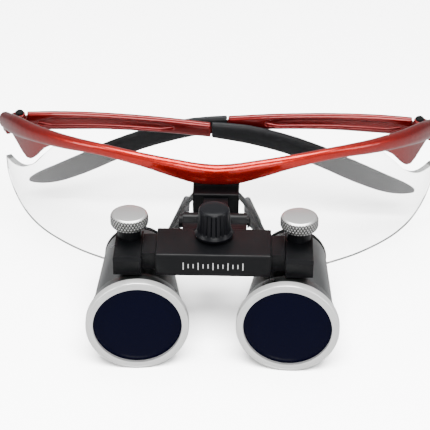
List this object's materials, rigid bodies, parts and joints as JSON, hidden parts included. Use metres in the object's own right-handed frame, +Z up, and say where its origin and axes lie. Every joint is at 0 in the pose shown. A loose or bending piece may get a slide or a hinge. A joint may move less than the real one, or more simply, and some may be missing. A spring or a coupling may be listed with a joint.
{
  "type": "dental loupes",
  "caption": "Flip-up magnifying loupes with tapered barrels on a sliding bridge, clipped to a wraparound safety frame with folding temples.",
  "frame": {"origin": "on the surface it stands on, under the middle of its bounding box, with the temples folded and the loupes down", "axes": "+X towards the side drawn on the right from the front, -Y the front that the two objectives face, +Z up"},
  "size_m": [0.1552, 0.1044, 0.0535],
  "materials": {
    "red_paint": "metallic red lacquer over moulded plastic",
    "black_rubber": "matt soft-touch",
    "soft_pad": "matt silicone",
    "black_plastic": "fine matt",
    "black_anodised": "satin black anodised",
    "clear_polycarbonate": "clear, hard-coated polycarbonate",
    "clear_glass": "polished optical glass",
    "coated_glass": "anti-reflection coated, looks dark navy",
    "silver_aluminium": "bright satin",
    "satin_grey": "satin grey anodised",
    "steel": "plain",
    "brass": "plain"
  },
  "bodies": {
    "glasses": {"brow_bar": "red_paint", "shield_lens": "clear_polycarbonate", "nose_bridge": "black_plastic", "nose_pad_left": "soft_pad", "nose_pad_right": "soft_pad", "mount_clip_front": "black_anodised", "mount_clip_back": "black_anodised", "clip_screw_left": "steel", "clip_screw_right": "steel", "temple_screw_left": "black_anodised", "temple_screw_right": "black_anodised"},
    "bridge": {"bridge_housing": "black_anodised", "hinge_yoke": "black_anodised", "yoke_screw_left": "steel", "yoke_screw_right": "steel", "tilt_pin": "black_anodised", "tilt_nut": "black_anodised", "tilt_washer_left": "brass", "tilt_washer_right": "brass", "pressure_plate": "steel"},
    "centre_knob": {"centre_knob": "black_plastic", "centre_stud": "steel", "centre_washer": "black_plastic"},
    "temple_left": {"temple_arm_left": "red_paint", "temple_tip_left": "black_rubber"},
    "carriage_left": {"slide_bar_left": "black_anodised", "end_block_left": "black_anodised", "lock_collar_left": "black_anodised"},
    "lock_left": {"lock_knob_left": "silver_aluminium", "lock_stud_left": "steel"},
    "barrel_left": {"barrel_foot_left": "black_anodised", "barrel_body_left": "satin_grey", "focus_collar_left": "satin_grey", "front_ring_left": "silver_aluminium", "objective_lens_left": "coated_glass", "seal_ring_left": "black_rubber", "field_stop_left": "black_anodised", "ocular_lens_left": "clear_glass", "eyepiece_ring_left": "black_anodised"},
    "temple_right": {"temple_arm_right": "red_paint", "temple_tip_right": "black_rubber"},
    "carriage_right": {"slide_bar_right": "black_anodised", "end_block_right": "black_anodised", "lock_collar_right": "black_anodised"},
    "lock_right": {"lock_knob_right": "silver_aluminium", "lock_stud_right": "steel"},
    "barrel_right": {"barrel_foot_right": "black_anodised", "barrel_body_right": "satin_grey", "focus_collar_right": "satin_grey", "front_ring_right": "silver_aluminium", "objective_lens_right": "coated_glass", "seal_ring_right": "black_rubber", "field_stop_right": "black_anodised", "ocular_lens_right": "clear_glass", "eyepiece_ring_right": "black_anodised"}
  },
  "joints": [
    {"name": "temple_left_fold", "type": "hinge", "parent": "glasses", "child": "temple_left", "pos_m": [-0.07, 0.03766, 0.04177], "axis": [0, -0.1736, 0.9848], "range_deg": [0, 90]},
    {"name": "temple_right_fold", "type": "hinge", "parent": "glasses", "child": "temple_right", "pos_m": [0.07, 0.03766, 0.04177], "axis": [0, 0.1736, -0.9848], "range_deg": [0, 86.7]},
    {"name": "loupe_tilt", "type": "hinge", "parent": "glasses", "child": "bridge", "pos_m": [0, -0.02123, 0.03739], "axis": [-1, 0, 0], "range_deg": [-10, 65]},
    {"name": "centre_knob_turn", "type": "hinge", "parent": "bridge", "child": "centre_knob", "pos_m": [0, -0.03363, 0.04029], "axis": [0, 0, 1], "range_deg": [0, 360]},
    {"name": "slide_left", "type": "slide", "parent": "bridge", "child": "carriage_left", "axis": [-1, 0, 0], "range_m": [-0.002, 0.009]},
    {"name": "lock_left_turn", "type": "hinge", "parent": "carriage_left", "child": "lock_left", "pos_m": [-0.0269, -0.03103, 0.04129], "axis": [0, 0, 1], "range_deg": [0, 360]},
    {"name": "barrel_left_swivel", "type": "hinge", "parent": "carriage_left", "child": "barrel_left", "pos_m": [-0.0269, -0.03103, 0.03179], "axis": [0, 0, 1], "range_deg": [-3, 3]},
    {"name": "slide_right", "type": "slide", "parent": "bridge", "child": "carriage_right", "axis": [1, 0, 0], "range_m": [-0.002, 0.009]},
    {"name": "lock_right_turn", "type": "hinge", "parent": "carriage_right", "child": "lock_right", "pos_m": [0.0269, -0.03103, 0.04129], "axis": [0, 0, 1], "range_deg": [0, 360]},
    {"name": "barrel_right_swivel", "type": "hinge", "parent": "carriage_right", "child": "barrel_right", "pos_m": [0.0269, -0.03103, 0.03179], "axis": [0, 0, 1], "range_deg": [-3, 3]}
  ]
}
